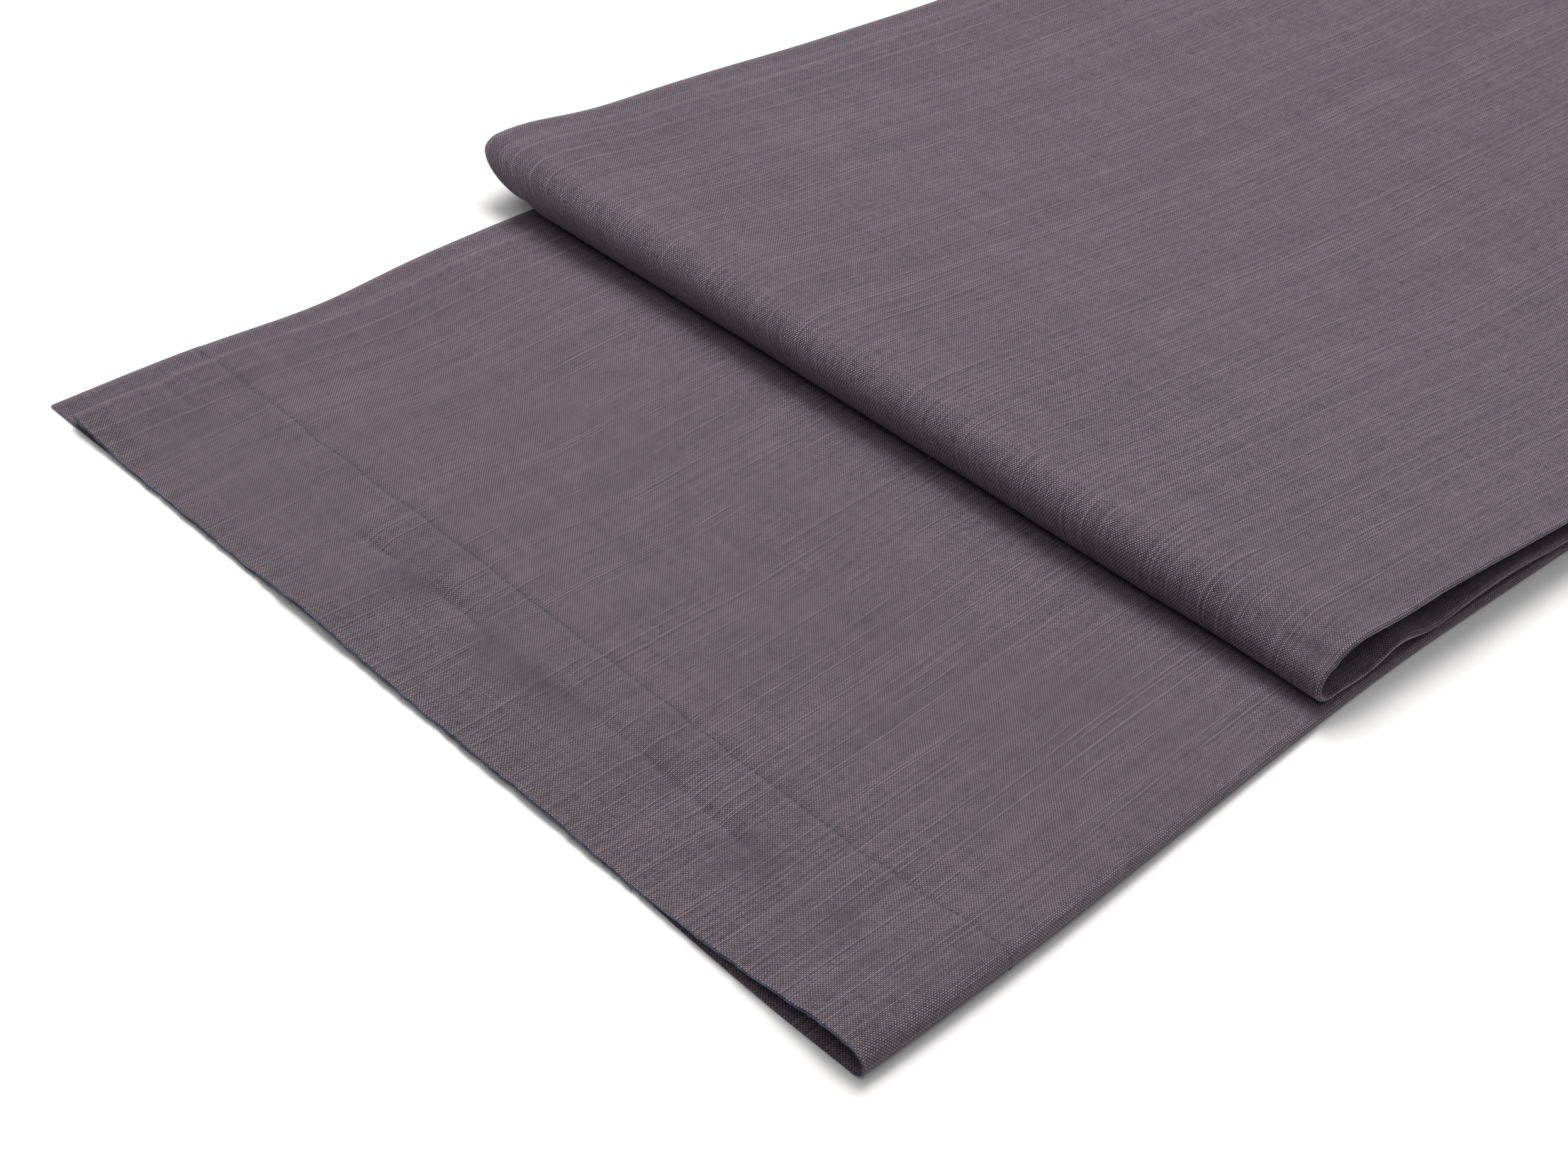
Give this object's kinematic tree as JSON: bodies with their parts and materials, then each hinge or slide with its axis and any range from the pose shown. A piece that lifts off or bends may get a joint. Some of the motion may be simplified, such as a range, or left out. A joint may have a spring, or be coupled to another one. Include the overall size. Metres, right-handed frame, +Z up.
{
  "type": "table runner",
  "caption": "Plain-weave cloth table runner with stitched end hems, folded in half along its length and then in three, one hemmed end showing.",
  "frame": {"origin": "centre of the folded runner's footprint, on the table it lies on", "axes": "+X along the runner, from the hemmed end that shows to the far fold; +Y across it, from the lengthwise fold to the open side edges; +Z up"},
  "size_m": [0.6042, 0.262, 0.0159],
  "materials": {
    "cloth": "matte two-tone plain weave, muted grey-mauve, with slubs along the length",
    "hem_thread": "dark blue-grey sewing thread"
  },
  "bodies": {
    "lower_body": {"lower_panel": "cloth", "far_fold": "cloth", "near_hem_thread": "hem_thread"},
    "middle_body": {"middle_panel": "cloth", "near_fold": "cloth"},
    "top_body": {"top_panel": "cloth", "far_hem_thread": "hem_thread"}
  },
  "joints": [
    {"name": "far_fold_opens", "type": "hinge", "parent": "lower_body", "child": "middle_body", "pos_m": [0.29931, 0, 0.00275], "axis": [0, 1, 0], "range_deg": [0, 177], "deforming": ["far_fold"]},
    {"name": "near_fold_opens", "type": "hinge", "parent": "middle_body", "child": "top_body", "pos_m": [-0.17456, 0, 0.00565], "axis": [0, -1, 0], "range_deg": [0, 179.5], "deforming": ["near_fold"]}
  ]
}
